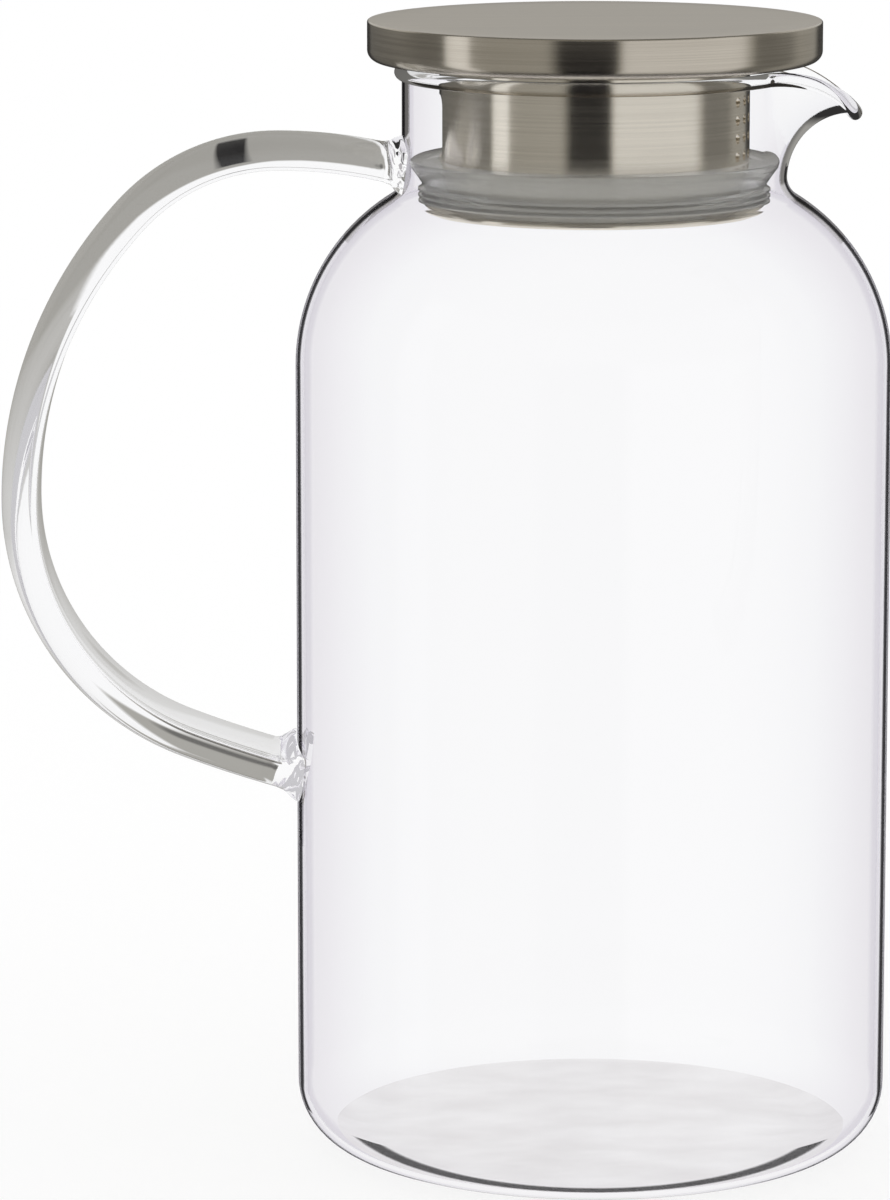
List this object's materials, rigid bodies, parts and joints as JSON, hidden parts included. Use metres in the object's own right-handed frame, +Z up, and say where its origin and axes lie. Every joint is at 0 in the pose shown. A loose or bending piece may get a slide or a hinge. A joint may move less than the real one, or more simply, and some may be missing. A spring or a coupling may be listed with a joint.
{
  "type": "glass pitcher with lid",
  "caption": "Tall clear glass pitcher with a fused C-shaped handle, a pulled pouring spout and a flat steel lid whose sleeve has a pouring window, strainer holes and a silicone seal.",
  "frame": {"origin": "centre of the flat base", "axes": "+Z up along the jug's axis, +X towards the spout, handle on -X"},
  "size_m": [0.1792, 0.12, 0.2294],
  "materials": {
    "glass": "clear",
    "steel": "brushed",
    "silicone": "satin translucent"
  },
  "bodies": {
    "jug": {"glass_jug": "glass", "glass_handle": "glass"},
    "seal": {"seal_ring": "silicone"},
    "lid": {"lid_shell": "steel", "lid_pan": "steel", "strainer_sleeve": "steel"}
  },
  "joints": [
    {"name": "lid_lift", "type": "slide", "parent": "jug", "child": "seal", "axis": [0, 0, 1], "range_m": [0, 0.045]},
    {"name": "lid_turn", "type": "hinge", "parent": "seal", "child": "lid", "pos_m": [0, 0, 0.2], "axis": [0, 0, 1], "continuous": true}
  ]
}
